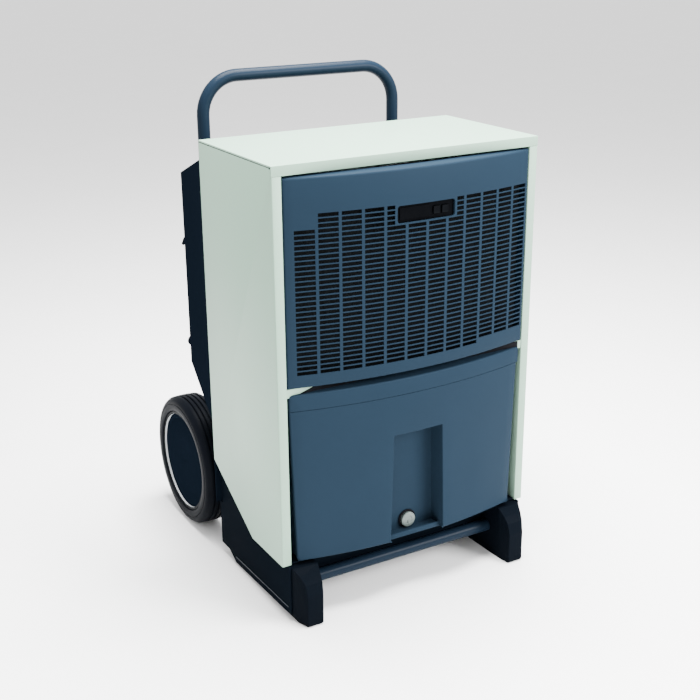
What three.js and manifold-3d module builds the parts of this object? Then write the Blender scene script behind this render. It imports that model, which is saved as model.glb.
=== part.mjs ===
// A portable commercial dehumidifier on two wheels, as an assembly of separate pieces.
// Millimetres, +Z up, the front faces -Y, and +X is to the right of someone who faces the front.
// The pieces are placed from the front plane of the cabinet (y = 0), the floor (z = 0) and the middle
// (x = 0); the whole group is then moved so that its origin is the middle of its footprint.
import * as THREE from "three";
import { mergeVertices } from "three/addons/utils/BufferGeometryUtils.js";
import { ConvexGeometry } from "three/addons/geometries/ConvexGeometry.js";
import Module from "manifold-3d";

// ---- driving dimensions ----
const GAP = 0.3; // between pieces that touch
const SHEET = 2; // cabinet sheet metal
const WALL = 3; // moulded plastic

const CABINET_HALF = 245;
const CABINET_DEPTH = 266;
const CABINET_TOP = 765;
const HEADER = 16; // height of the band above the front grille
const LIP = 3.6; // height of the cover's side lips
const PANEL_BOTTOM = 103;
const PANEL_KNEE_Y = 114; // where the lower edge starts to rise
const PANEL_REAR_BOTTOM = 192;
const FLANGE = 16; // front flange of a side panel
const FLANGE_RETURN = 22;
const REAR_FLANGE = 20;

const FRONT_HALF = 228.5; // front grille, between the flanges
const BULGE = 29; // how far the front stands out in the middle
const GRILLE_BOTTOM = 412.5;
const GRILLE_TOP = 745.5;
const GRILLE_BACK = 8;
const COLUMNS = 12;
const WIDE_COLUMNS = 7; // the columns to the right of these are narrower
const WIDE_PITCH = 37.6;
const NARROW_PITCH = 35.1;
const GRID_LEFT = -214.5;
const COLUMN_RIB = 5;
const ROW_PITCH = 8.05;
const SLOT_HEIGHT = 6;
const ROWS_TOP = 689.5;
const ROW_BANDS = [[4, 10], [11, 17], [18, 24], [25, 31]]; // rows that share one opening
const WINDOW_MIDDLE = 9.5;
const WINDOW_HALF = 54;
const WINDOW_BOTTOM = 659.5;
const WINDOW_TOP = 687.5;
const KEYS = [30, 46]; // middles of the two keys
const KEY_HALF = 6;
const KEY_SPAN = [667, 679];
const FASCIA_FRONT = -22.7;

const RIM_HALF = 226;
const RIM_MIDDLE = -1.5;
const TANK_MIDDLE = -4; // the tank hangs a little to the left in its bay
const TANK_HALF_TOP = 223.5;
const TANK_HALF_BOTTOM = 215;
const TANK_BOTTOM = 107;
const TANK_FACE_TOP = 402;
const TANK_BODY_TOP = 394;
const TANK_BACK = 150;
const RIM_SEAM = 374; // the tank's rim band stands out above this height
const RECESS_HALF_TOP = 47.5;
const RECESS_HALF_BOTTOM = 53;
const RECESS_TOP = 303.5;
const RECESS_BOTTOM = 110;
const RECESS_BACK = 5;
const LIP_FRONT = -17; // front of the lip across the foot of the recess
const LIP_TOP = 115;
const EAR_SPAN = [360, 380]; // the ears that hold the float's pin
const FLOAT = { x: -130, y: 134, z: 370 };
const PLUG_X = -2;
const PLUG_Z = 126.5;

const CASING_HALF = 244;
const CASING_REAR = 353;
const CASING_TOP_FRONT = 733;
const CASING_TOP_REAR = 697;
const CASING_KNEE = 352; // where the rear face turns in under the casing
const CASING_LOW_FRONT = 262;
const ARCH_HALF = 180; // half width of everything between the wheels
const OUTLET_HALF = 150;
const OUTLET_BOTTOM = 400;
const OUTLET_TOP = 680;

const HANDLE_X = 191;
const HANDLE_Y = 367.5;
const HANDLE_TOP = 851; // centre of the top bar
const HANDLE_FOOT = 415;
const HANDLE_BEND = 65;
const TUBE_RADIUS = 11;
const SLEEVE_BORE = 11.35;
const SLEEVE_RADIUS = 14;
const SLEEVE_SPAN = [410, 690];
const KNOB_Z = 640;

const AXLE_Y = 424;
const TYRE_RADIUS = 125;
const WHEEL_INNER = 186;
const WHEEL_OUTER = 248;
const AXLE_RADIUS = 9.7;
const RIM_RADIUS = 97;
const WHEEL_SIDES = 32;

const FOOT_FRONT = -39;
const FOOT_REAR = 96;
const FOOT_INNER = 186;
const FOOT_OUTER = 231.5;
const FOOT_TOP = 100;
const CROSS_TUBE = { y: 26, z: 52 };
const PAN_FLOOR = 105; // top of the base pan
const PAN_APRON = { y: 40, z: 54 }; // front face and lower edge of the pan's flange, behind the tube
const PAN_HALF = 228;
const PAN_REAR = 352;
const FRAME_INNER = 232;
const FRAME_OUTER = 235;

const FAN_Z = 580;
const FAN_HOLE = 140;
const SHROUD_Y = 162;
const COIL_HALF = 195;
const COIL_SPAN = [428, 724];
const COIL_DEPTH = 44;
const EVAPORATOR_FRONT = 30;
const CONDENSER_FRONT = 98;
const PARTITION_Y = 156;
const SHELF = 398; // top of the sheet over the tank bay
const DRIP_HOLE = { x: -150, y: 87 };
const COMPRESSOR = { x: 70, y: 250, radius: 60 };
const ACCUMULATOR_X = 156;

// ---- materials ----
const paint = (color, roughness, metalness = 0) =>
  new THREE.MeshStandardMaterial({ color, roughness, metalness });
const cabinetWhite = paint(0xd7ded9, 0.45);
const frontBlue = paint(0x48607c, 0.55);
const frameBlack = paint(0x1d242c, 0.6);
const casingBlack = paint(0x20272f, 0.6);
const handleBlue = paint(0x33506c, 0.4);
const tyreRubber = paint(0x16181b, 0.85);
const wheelPlastic = paint(0x1a1f26, 0.5);
const hubcapPlastic = paint(0x1c2736, 0.35);
const plugGrey = paint(0xc9cfce, 0.5);
const displayGloss = paint(0x07090b, 0.15);
const keyBlack = paint(0x14171a, 0.5);
const steel = paint(0x9aa0a4, 0.35, 0.9);
const galvanised = paint(0xa7adb0, 0.5, 0.7);
const aluminium = paint(0xb9bdc0, 0.4, 0.8);
const copper = paint(0xb4713f, 0.35, 0.9);
const compressorBlack = paint(0x15171a, 0.35);
const moulded = paint(0x2a2e33, 0.6);
const mountRubber = paint(0x1b1b1b, 0.9);
const filterGrey = paint(0x3c4247, 0.95);
const boardGreen = paint(0x1f5a3c, 0.5);
const floatWhite = paint(0xe4e4de, 0.6);

const wasm = await Module();
wasm.setup();

const X = new THREE.Vector3(1, 0, 0);
const Y = new THREE.Vector3(0, 1, 0);
const Z = new THREE.Vector3(0, 0, 1);
const machine = new THREE.Group();
machine.name = "dehumidifier";

// ---- shapes ----
// A closed three.js geometry as a solid that can be joined and cut.
function solid(geometry) {
  const flat = geometry.index ? geometry.toNonIndexed() : geometry;
  const bare = new THREE.BufferGeometry();
  bare.setAttribute("position", flat.getAttribute("position"));
  const merged = mergeVertices(bare, 1e-4);
  const corners = merged.index.array;
  const kept = [];
  for (let i = 0; i < corners.length; i += 3) {
    const [a, b, c] = corners.subarray(i, i + 3);
    if (a !== b && b !== c && c !== a) kept.push(a, b, c);
  }
  const vertProperties = merged.attributes.position.array;
  return new wasm.Manifold(
    new wasm.Mesh({ numProp: 3, vertProperties, triVerts: new Uint32Array(kept) }),
  );
}

// A named piece of the machine.
function piece(name, shape, material) {
  const { numProp, vertProperties, triVerts } = shape.getMesh();
  const count = vertProperties.length / numProp;
  const positions = new Float32Array(count * 3);
  for (let i = 0; i < count; i++) {
    positions.set(vertProperties.subarray(i * numProp, i * numProp + 3), i * 3);
  }
  const geometry = new THREE.BufferGeometry();
  geometry.setAttribute("position", new THREE.BufferAttribute(positions, 3));
  geometry.setIndex(new THREE.BufferAttribute(triVerts, 1));
  geometry.computeVertexNormals();
  const mesh = new THREE.Mesh(geometry, material);
  mesh.name = name;
  machine.add(mesh);
}

const joined = (...shapes) => shapes.reduce((a, b) => a.add(b));
const cut = (shape, ...tools) => tools.reduce((a, b) => a.subtract(b), shape);

// A box between two values on each axis, given in either order.
function block(xs, ys, zs) {
  const size = [xs, ys, zs].map(([a, b]) => Math.abs(b - a));
  const middle = [xs, ys, zs].map(([a, b]) => (a + b) / 2);
  return solid(new THREE.BoxGeometry(...size).translate(...middle));
}

function extruded(outline, depth, holes = []) {
  const shape = new THREE.Shape(outline.map(([u, v]) => new THREE.Vector2(u, v)));
  for (const hole of holes) {
    shape.holes.push(new THREE.Path(hole.map(([u, v]) => new THREE.Vector2(u, v))));
  }
  return new THREE.ExtrudeGeometry(shape, { depth, bevelEnabled: false });
}

// Outlines in the (y, z), (x, z) and (x, y) planes, pushed along the third axis.
function alongX(outline, [a, b], holes) {
  const g = extruded(outline, Math.abs(b - a), holes);
  g.applyMatrix4(new THREE.Matrix4().makeBasis(Y, Z, X));
  return solid(g.translate(Math.min(a, b), 0, 0));
}
function alongY(outline, [a, b], holes) {
  const g = extruded(outline, Math.abs(b - a), holes).rotateX(Math.PI / 2);
  return solid(g.translate(0, Math.max(a, b), 0));
}
function alongZ(outline, [a, b], holes) {
  return solid(extruded(outline, Math.abs(b - a), holes).translate(0, 0, Math.min(a, b)));
}

const ring = (u, v, radius, sides) =>
  Array.from({ length: sides }, (_, i) => {
    const turn = (2 * Math.PI * i) / sides;
    return [u + radius * Math.cos(turn), v + radius * Math.sin(turn)];
  });
const rodX = (y, z, radius, span, sides = 16) => alongX(ring(y, z, radius, sides), span);
const rodY = (x, z, radius, span, sides = 16) => alongY(ring(x, z, radius, sides), span);
const rodZ = (x, y, radius, span, sides = 16) => alongZ(ring(x, y, radius, sides), span);

// A section of [radius, height] points turned about an axis direction through a centre.
function turned(section, direction, centre, sides) {
  let area = 0;
  section.forEach(([r, h], i) => {
    const [r2, h2] = section[(i + 1) % section.length];
    area += r * h2 - r2 * h;
  });
  const points = section.map(([r, h]) => new THREE.Vector2(r, h));
  if (area < 0) points.reverse();
  if (section[0][0] > 0) points.push(points[0].clone());
  const g = new THREE.LatheGeometry(points, sides);
  g.applyQuaternion(new THREE.Quaternion().setFromUnitVectors(Y, direction));
  return solid(g.translate(...centre));
}

const hull = (points) =>
  solid(new ConvexGeometry(points.map((p) => new THREE.Vector3(...p))));

// Corner points with every inner corner rounded to an arc.
function rounded(corners, radius, steps) {
  const points = [corners[0].clone()];
  for (let i = 1; i < corners.length - 1; i++) {
    const back = corners[i - 1].clone().sub(corners[i]).normalize();
    const ahead = corners[i + 1].clone().sub(corners[i]).normalize();
    const half = back.angleTo(ahead) / 2;
    const reach = radius / Math.sin(half);
    const centre = back.clone().add(ahead).setLength(reach).add(corners[i]);
    const from = back.multiplyScalar(radius / Math.tan(half)).add(corners[i]).sub(centre);
    const to = ahead.multiplyScalar(radius / Math.tan(half)).add(corners[i]).sub(centre);
    const axis = from.clone().cross(to).normalize();
    for (let k = 0; k <= steps; k++) {
      const turn = ((Math.PI - 2 * half) * k) / steps;
      points.push(from.clone().applyAxisAngle(axis, turn).add(centre));
    }
  }
  points.push(corners.at(-1).clone());
  return points;
}

// A path with one station at each of its points.
class Stations extends THREE.Curve {
  constructor(points) {
    super();
    this.points = points;
  }
  getPointAt(u, target = new THREE.Vector3()) {
    return target.copy(this.points[Math.round(u * (this.points.length - 1))]);
  }
  getTangentAt(u, target = new THREE.Vector3()) {
    const i = Math.round(u * (this.points.length - 1));
    const last = this.points.length - 1;
    const before = this.points[Math.max(i - 1, 0)];
    const after = this.points[Math.min(i + 1, last)];
    return target.copy(after).sub(before).normalize();
  }
}

// A round bar or pipe along corner points.
function bent(corners, radius, bend, sides = 12, steps = 4) {
  const points = rounded(corners.map((c) => new THREE.Vector3(...c)), bend, steps);
  const section = new THREE.Shape(
    ring(0, 0, radius, sides).map(([u, v]) => new THREE.Vector2(u, v)),
  );
  const extrudePath = new Stations(points);
  return solid(new THREE.ExtrudeGeometry(section, { steps: points.length - 1, extrudePath }));
}

// Where the bulged front stands at a given x, for a given half width.
function frontY(x, half = FRONT_HALF) {
  const radius = (half * half + BULGE * BULGE) / (2 * BULGE);
  return radius - BULGE - Math.sqrt(radius * radius - x * x);
}

// ---- cabinet ----
function sidePanel(side) {
  const outer = side * CABINET_HALF;
  const flangeEdge = side * (CABINET_HALF - FLANGE);
  const top = CABINET_TOP - LIP - GAP;
  const headerBottom = CABINET_TOP - HEADER - GAP;
  const skin = [
    [0, PANEL_BOTTOM], [PANEL_KNEE_Y, PANEL_BOTTOM], [CABINET_DEPTH, PANEL_REAR_BOTTOM],
    [CABINET_DEPTH, top], [SHEET + GAP, top], [SHEET + GAP, headerBottom], [0, headerBottom],
  ];
  const rearInner = side * (CABINET_HALF - REAR_FLANGE);
  return joined(
    alongX(skin, [outer, outer - side * SHEET]),
    block([outer, flangeEdge], [0, SHEET], [PANEL_BOTTOM, headerBottom]),
    block([flangeEdge + side * SHEET, flangeEdge], [0, FLANGE_RETURN], [PANEL_BOTTOM, headerBottom]),
    block([outer, rearInner], [CABINET_DEPTH - SHEET, CABINET_DEPTH], [PANEL_REAR_BOTTOM, top]),
    block([outer, rearInner], [FLANGE_RETURN + 2, CABINET_DEPTH], [top - SHEET, top]),
  );
}

function topCover() {
  const lipBottom = CABINET_TOP - LIP;
  const lip = (side) =>
    block([side * CABINET_HALF, side * (CABINET_HALF - SHEET)], [0, CABINET_DEPTH], [lipBottom, CABINET_TOP]);
  const rearHalf = CABINET_HALF - REAR_FLANGE - 1;
  const headerBottom = CABINET_TOP - HEADER;
  return joined(
    block([-CABINET_HALF, CABINET_HALF], [0, CABINET_DEPTH], [CABINET_TOP - SHEET, CABINET_TOP]),
    block([-CABINET_HALF, CABINET_HALF], [0, SHEET], [headerBottom, CABINET_TOP]),
    block([-FRONT_HALF, FRONT_HALF], [0, 12], [headerBottom, headerBottom + SHEET]),
    block([-rearHalf, rearHalf], [CABINET_DEPTH - SHEET, CABINET_DEPTH], [735, CABINET_TOP]),
    lip(-1),
    lip(1),
  );
}

// The rail that closes the cabinet front between the grille and the tank: a channel open behind.
function crossRail() {
  return cut(
    block([-FRONT_HALF, FRONT_HALF], [1, 21], [398, 412]),
    block([-FRONT_HALF + SHEET, FRONT_HALF - SHEET], [1 + SHEET, 22], [400, 410]),
  );
}

// ---- chassis ----
function frameSide(side) {
  const outline = [
    [-5, 12], [212, 4], [240, 19], [272, 19], [272, 104], [262, 104], [262, 200],
    [30, 200], [3, 150], [3, 102], [-5, 102],
  ];
  return joined(
    alongX(outline, [side * FRAME_INNER, side * FRAME_OUTER]),
    block([side * FRAME_OUTER, side * 222], [104, 212], [8.5, 11.5]),
  );
}

function basePan() {
  const plate = [
    [-PAN_HALF, 3.5], [PAN_HALF, 3.5], [PAN_HALF, 262], [ARCH_HALF, 262],
    [ARCH_HALF, PAN_REAR], [-ARCH_HALF, PAN_REAR], [-ARCH_HALF, 262], [-PAN_HALF, 262],
  ];
  const thick = 2.5;
  return joined(
    alongZ(plate, [PAN_FLOOR - thick, PAN_FLOOR]),
    block([-FOOT_INNER + 2, FOOT_INNER - 2], [PAN_APRON.y, PAN_APRON.y + thick], [PAN_APRON.z, PAN_FLOOR]),
    block([-ARCH_HALF + 12, ARCH_HALF - 12], [PAN_REAR - thick, PAN_REAR], [84, PAN_FLOOR]),
  );
}

// A moulded foot: a wide block under the cabinet that narrows to a rounded nose in front.
function foot(side) {
  const corners = [
    [220, FOOT_FRONT, 4], [191, FOOT_FRONT, 4], [220, FOOT_FRONT, 58], [191, FOOT_FRONT, 58],
    [219, FOOT_FRONT + 3, 0], [192, FOOT_FRONT + 3, 0],
    [221.5, -34, 78], [190, -34, 78], [225, -25, 89], [189, -25, 89],
    [226, -14, 0], [188, -12, 0],
    [FOOT_OUTER, -7, 10], [FOOT_OUTER, -8, FOOT_TOP], [FOOT_INNER, -12, FOOT_TOP],
    [FOOT_INNER, FOOT_REAR, 0], [227, FOOT_REAR, 0], [FOOT_OUTER, FOOT_REAR, 8],
    [FOOT_INNER, FOOT_REAR, FOOT_TOP], [FOOT_OUTER, FOOT_REAR, FOOT_TOP],
  ].map(([x, y, z]) => [side * x, y, z]);
  const bore = rodX(CROSS_TUBE.y, CROSS_TUBE.z, TUBE_RADIUS + 0.5, [side * 180, side * 240], 20);
  return cut(hull(corners), bore);
}

function axleBracket(side) {
  const arm = [
    [240, 72], [370, 72], [424, 103], [444, 116], [444, 134], [434, 145], [410, 145],
    [365, 102.2], [240, 102.2],
  ];
  const hole = ring(AXLE_Y, TYRE_RADIUS, AXLE_RADIUS + 0.6, 20);
  return joined(
    alongX(arm, [side * 172, side * 176], [hole]),
    block([side * 150, side * 176], [240, 345], [99.2, 102.2]),
  );
}

// ---- wheels ----
function wheel(side, name) {
  const centre = [0, AXLE_Y, TYRE_RADIUS];
  const turn = (section) => turned(section.map(([r, x]) => [r, side * x]), X, centre, WHEEL_SIDES);
  const seat = RIM_RADIUS + GAP;
  const tyre = [
    [seat, 190], [seat, 244], [112, WHEEL_OUTER], [119, 247], [123.5, 243], [TYRE_RADIUS, 237],
    [TYRE_RADIUS, 197], [123.5, 191], [119, 187], [112, WHEEL_INNER],
  ];
  const rim = [
    [10.6, 181.5], [24, 181.5], [26, 205], [88, 205], [90, 190], [RIM_RADIUS, 190],
    [RIM_RADIUS, 244], [92, 244], [92, 213], [26, 213], [24, 229], [10.6, 229],
  ];
  const hubcap = [[0, 237.5], [80, 237.5], [91.6, 240.5], [91, 243.6], [80, 241], [0, 241]];
  piece("tyre_" + name, turn(tyre), tyreRubber);
  piece("rim_" + name, turn(rim), wheelPlastic);
  piece("hubcap_" + name, turn(hubcap), hubcapPlastic);
  const collar = alongX(ring(AXLE_Y, TYRE_RADIUS, 16, 16), [side * 229.6, side * 234], [
    ring(AXLE_Y, TYRE_RADIUS, AXLE_RADIUS + GAP, 16),
  ]);
  piece("axle_collar_" + name, collar, steel);
}

// ---- rear casing ----
function rearCasing() {
  const front = CABINET_DEPTH + 0.4;
  const topFall = (CASING_TOP_FRONT - CASING_TOP_REAR) / (CASING_REAR - front);
  const lowRise = (CASING_KNEE - CASING_LOW_FRONT) / (CASING_REAR - front);
  const topInset = WALL * Math.hypot(1, topFall);
  const lowInset = WALL * Math.hypot(1, lowRise);
  const inner = front - 8;
  const rear = CASING_REAR - WALL;
  const topAt = (y) => CASING_TOP_FRONT - topFall * (y - front) - topInset;
  const lowAt = (y) => CASING_LOW_FRONT + lowRise * (y - front) + lowInset;
  const outside = [
    [front, CASING_LOW_FRONT], [CASING_REAR, CASING_KNEE], [CASING_REAR, CASING_TOP_REAR],
    [front, CASING_TOP_FRONT],
  ];
  const inside = [[inner, lowAt(inner)], [rear, lowAt(rear)], [rear, topAt(rear)], [inner, topAt(inner)]];
  const low = PAN_FLOOR + 0.5;
  const arch = (side) => {
    const across = [side * (ARCH_HALF - WALL), side * CASING_HALF];
    return block(across, [front, front + WALL], [low, CASING_LOW_FRONT + 4]);
  };
  const shell = joined(
    alongX(outside, [-CASING_HALF, CASING_HALF]),
    block([-ARCH_HALF, ARCH_HALF], [front, CASING_REAR], [low, CASING_KNEE]),
  );
  const hollowed = cut(
    shell,
    alongX(inside, [-CASING_HALF + WALL, CASING_HALF - WALL]),
    block([-ARCH_HALF + WALL, ARCH_HALF - WALL], [inner, rear], [low - 5, CASING_KNEE]),
    block([-OUTLET_HALF, OUTLET_HALF], [rear - 5, CASING_REAR + 5], [OUTLET_BOTTOM, OUTLET_TOP]),
  );
  // The wall behind each wheel arch stops short of the chassis plates.
  const notch = (side) =>
    block([side * (FRAME_INNER - 2), side * 250], [front - 1, front + 8], [low - 5, low + 0.5]);
  return cut(joined(hollowed, arch(-1), arch(1)), notch(-1), notch(1));
}

function outletGrille() {
  const half = OUTLET_HALF - 0.5;
  const depth = [CASING_REAR - WALL - 1, CASING_REAR - 0.5];
  const [bottom, top] = [OUTLET_BOTTOM + 0.5, OUTLET_TOP - 0.5];
  const border = 10;
  const frame = cut(
    block([-half, half], depth, [bottom, top]),
    block([-half + border, half - border], [300, 400], [bottom + border, top - border]),
  );
  const blades = 10;
  const pitch = (top - bottom - 2 * border) / (blades + 1);
  const bars = [block([-3, 3], depth, [bottom, top])];
  for (let i = 1; i <= blades; i++) {
    const z = bottom + border + i * pitch;
    bars.push(block([-half + 5, half - 5], depth, [z - 3.5, z + 3.5]));
  }
  return joined(frame, ...bars);
}

function handleSleeve(side) {
  const x = side * HANDLE_X;
  const [low, high] = SLEEVE_SPAN;
  const back = CASING_REAR + GAP;
  return cut(
    joined(
      rodZ(x, HANDLE_Y, SLEEVE_RADIUS, SLEEVE_SPAN, 20),
      block([x - 20, x + 20], [back, back + 2.6], [low + 15, high - 15]),
    ),
    rodZ(x, HANDLE_Y, SLEEVE_BORE, [low - 5, high + 5], 20),
    rodY(x, KNOB_Z, 4.4, [HANDLE_Y, HANDLE_Y + 30], 12),
  );
}

function handle() {
  const corners = [
    [-HANDLE_X, HANDLE_Y, HANDLE_FOOT], [-HANDLE_X, HANDLE_Y, HANDLE_TOP],
    [HANDLE_X, HANDLE_Y, HANDLE_TOP], [HANDLE_X, HANDLE_Y, HANDLE_FOOT],
  ];
  return bent(corners, TUBE_RADIUS, HANDLE_BEND, 16, 8);
}

// A round knob with finger lobes on a short spindle that clamps the handle tube.
function clampKnob(side) {
  const x = side * HANDLE_X;
  const lobes = Array.from({ length: 16 }, (_, i) => {
    const turn = (2 * Math.PI * i) / 16;
    const radius = i % 2 ? 13.5 : 17;
    return [x + radius * Math.cos(turn), KNOB_Z + radius * Math.sin(turn)];
  });
  const tip = HANDLE_Y + TUBE_RADIUS + 0.6;
  return joined(alongY(lobes, [386, 402]), rodY(x, KNOB_Z, 3.9, [tip, 388], 12));
}

function cableGland() {
  const back = CASING_REAR + GAP;
  return cut(
    joined(rodY(-120, 170, 13, [back, back + 6], 6), rodY(-120, 170, 9, [back, back + 14], 12)),
    rodY(-120, 170, 5, [back + 4, back + 20], 12),
  );
}

function cordHook() {
  const back = CASING_REAR + GAP;
  return joined(
    block([-241, -227], [back, back + 3], [567, 589]),
    bent([[-234, back + 2, 578], [-234, 367, 575], [-234, 378, 562]], 3, 5, 8, 3),
  );
}

function cordPeg() {
  const back = CASING_REAR + GAP;
  const section = [[0, 0], [8, 0], [6, 3], [6, 9], [10, 10], [10, 14], [0, 14]];
  return turned(section, Y, [-233, back, 386], 16);
}

// ---- front ----
function columnEdges() {
  return Array.from({ length: COLUMNS + 1 }, (_, i) => {
    const wide = Math.min(i, WIDE_COLUMNS);
    return GRID_LEFT + wide * WIDE_PITCH + (i - wide) * NARROW_PITCH;
  });
}

function frontGrille() {
  const stops = [-FRONT_HALF, ...columnEdges(), FRONT_HALF];
  const outside = stops.map((x) => [x, frontY(x)]);
  outside.push([FRONT_HALF, GRILLE_BACK], [-FRONT_HALF, GRILLE_BACK]);
  const inHalf = FRONT_HALF - WALL;
  const inside = [-inHalf, ...columnEdges(), inHalf].map((x) => [x, frontY(x) + WALL]);
  inside.push([inHalf, GRILLE_BACK + 5], [-inHalf, GRILLE_BACK + 5]);
  const tray = cut(
    alongZ(outside, [GRILLE_BOTTOM, GRILLE_TOP]),
    alongZ(inside, [GRILLE_BOTTOM + WALL, GRILLE_TOP - WALL]),
    block(
      [WINDOW_MIDDLE - WINDOW_HALF, WINDOW_MIDDLE + WINDOW_HALF], [-40, 0], [WINDOW_BOTTOM, WINDOW_TOP],
    ),
  );
  const edges = columnEdges();
  const openings = [];
  const rowTop = (row) => ROWS_TOP - row * ROW_PITCH;
  edges.slice(0, -1).forEach((left, column) => {
    const span = [left + COLUMN_RIB / 2, edges[column + 1] - COLUMN_RIB / 2];
    const besideWindow = column >= 4 && column <= 7;
    const bands = column === 0 || besideWindow ? ROW_BANDS : [[0, 3], ...ROW_BANDS];
    for (const [first, last] of bands) {
      openings.push(block(span, [-40, GRILLE_BACK - 2], [rowTop(last) - SLOT_HEIGHT, rowTop(first)]));
    }
  });
  return cut(tray, ...openings);
}

function controlFascia() {
  const half = WINDOW_HALF + 3;
  const clear = KEY_HALF + 0.5;
  const [low, high] = KEY_SPAN;
  return cut(
    block(
      [WINDOW_MIDDLE - half, WINDOW_MIDDLE + half], [FASCIA_FRONT, FASCIA_FRONT + 3.4],
      [WINDOW_BOTTOM - 3, WINDOW_TOP + 3],
    ),
    ...KEYS.map((x) => block([x - clear, x + clear], [-30, -10], [low - 0.5, high + 0.5])),
  );
}

const key = (x) => block([x - KEY_HALF, x + KEY_HALF], [FASCIA_FRONT - 2.9, -18], KEY_SPAN);

// ---- tank ----
function tank() {
  const arcX = (half) => Array.from({ length: 13 }, (_, i) => -half + (i * half) / 6);
  const face = (half, middle, inset, z) =>
    arcX(half - inset).map((x) => [middle + x, frontY((x * FRONT_HALF) / half) + inset, z]);
  const pair = (half, middle, y, z) => [[middle - half, y, z], [middle + half, y, z]];
  const taper = (top, low, middle, ys, [z0, z1]) =>
    hull(ys.flatMap((y) => [...pair(top, middle, y, z1), ...pair(low, middle, y, z0)]));
  const rim = hull([TANK_FACE_TOP, RIM_SEAM].flatMap((z) => [
    ...face(RIM_HALF, RIM_MIDDLE, 0, z), ...pair(RIM_HALF, RIM_MIDDLE, 0.1, z),
  ]));
  const skirt = hull([
    ...face(TANK_HALF_TOP, TANK_MIDDLE, 0, RIM_SEAM + 1),
    ...face(TANK_HALF_BOTTOM, TANK_MIDDLE, 0, TANK_BOTTOM),
    ...pair(TANK_HALF_TOP, TANK_MIDDLE, 0.1, RIM_SEAM + 1),
  ]);
  const bodyTop = TANK_HALF_TOP - 7;
  const bodyLow = TANK_HALF_BOTTOM - 7;
  const body = taper(bodyTop, bodyLow, TANK_MIDDLE, [-1, TANK_BACK], [TANK_BOTTOM, TANK_BODY_TOP]);
  const [roomLow, roomTop] = [TANK_BOTTOM + WALL, TANK_FACE_TOP + 1];
  const frontRoom = hull([
    ...face(bodyTop, TANK_MIDDLE, WALL, roomTop), ...face(bodyLow, TANK_MIDDLE, WALL, roomLow),
    ...pair(bodyTop - WALL, TANK_MIDDLE, 20, roomTop), ...pair(bodyLow - WALL, TANK_MIDDLE, 20, roomLow),
  ]);
  const rearRoom = taper(
    bodyTop - WALL, bodyLow - WALL, TANK_MIDDLE, [10, TANK_BACK - WALL], [roomLow, roomTop],
  );
  const surround = taper(
    RECESS_HALF_TOP + WALL, RECESS_HALF_BOTTOM + WALL, 0, [2 - BULGE, RECESS_BACK + WALL],
    [TANK_BOTTOM, RECESS_TOP + WALL],
  );
  const mouth = taper(
    RECESS_HALF_TOP, RECESS_HALF_BOTTOM, 0, [-40, RECESS_BACK], [RECESS_BOTTOM, RECESS_TOP],
  );
  const across = [-RECESS_HALF_BOTTOM, RECESS_HALF_BOTTOM];
  const underCut = block(across, [-40, LIP_FRONT], [TANK_BOTTOM - 1, RECESS_BOTTOM + 1]);
  const lip = block(across, [LIP_FRONT, LIP_FRONT + WALL], [TANK_BOTTOM, LIP_TOP]);
  const ear = (x) => block([x - 1.5, x + 1.5], [FLOAT.y + 2, TANK_BACK - 1], EAR_SPAN);
  const hollow = cut(joined(rim, skirt, body), frontRoom, rearRoom);
  const opened = cut(
    joined(hollow, surround, ear(FLOAT.x - 19), ear(FLOAT.x + 19)),
    mouth,
    underCut,
    rodY(PLUG_X, PLUG_Z, 8, [0, 20], 16),
  );
  return joined(opened, lip);
}

function drainPlug() {
  const section = [[0, 0], [12.5, 0], [13.5, 1.5], [13.5, 7.6], [7.5, 7.6], [7.5, 15], [0, 15]];
  return turned(section, Y, [PLUG_X, RECESS_BACK - 7.6 - 0.4, PLUG_Z], 20);
}

function tankFloat() {
  const { x, y, z } = FLOAT;
  return joined(
    block([x - 17, x + 17], [y - 26, y], [z - 52, z - 26]),
    block([x - 3, x + 3], [y - 8, y], [z - 30, z + 2]),
    rodX(y, z, 4, [x - 17, x + 17], 12),
  );
}

// ---- cooling circuit ----
// A finned coil between two end plates, its fins gathered into packs.
function coil(front) {
  const [bottom, top] = COIL_SPAN;
  const packs = 13;
  const pitch = (2 * COIL_HALF) / (packs - 0.7);
  const gaps = [];
  for (let i = 0; i < packs - 1; i++) {
    const left = -COIL_HALF + 0.3 * pitch + i * pitch;
    gaps.push(block([left, left + 0.7 * pitch], [front + 3, front + COIL_DEPTH + 5], [bottom + 8, top - 8]));
  }
  const plate = (side) => {
    const across = [side * COIL_HALF, side * (COIL_HALF + WALL)];
    return block(across, [front - 1, front + COIL_DEPTH + 1], [bottom - 2, top + 2]);
  };
  const fins = block([-COIL_HALF, COIL_HALF], [front, front + COIL_DEPTH], [bottom, top]);
  return joined(cut(fins, ...gaps), plate(-1), plate(1));
}

function compressor() {
  const { x, y, radius } = COMPRESSOR;
  const shell = [
    [8, 118], [radius, 118], [radius, 300], [radius - 8, 320], [18, 330], [8, 330],
    [8, 318], [radius - 18, 308], [radius - 12, 296], [radius - 12, 130], [8, 130],
  ];
  const plate = [
    [x - 72, y - 50], [x + 72, y - 50], [x + 72, y - 28], [x + 14, y + 80], [x - 14, y + 80],
    [x - 72, y - 28],
  ];
  return joined(turned(shell, Z, [x, y, 0], 24), alongZ(plate, [114, 119]));
}

function grommet(x, y) {
  const section = [[0, PAN_FLOOR + GAP], [10, PAN_FLOOR + GAP], [8, 109.5], [10, 113.7], [0, 113.7]];
  return turned(section, Z, [x, y, 0], 12);
}

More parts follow.
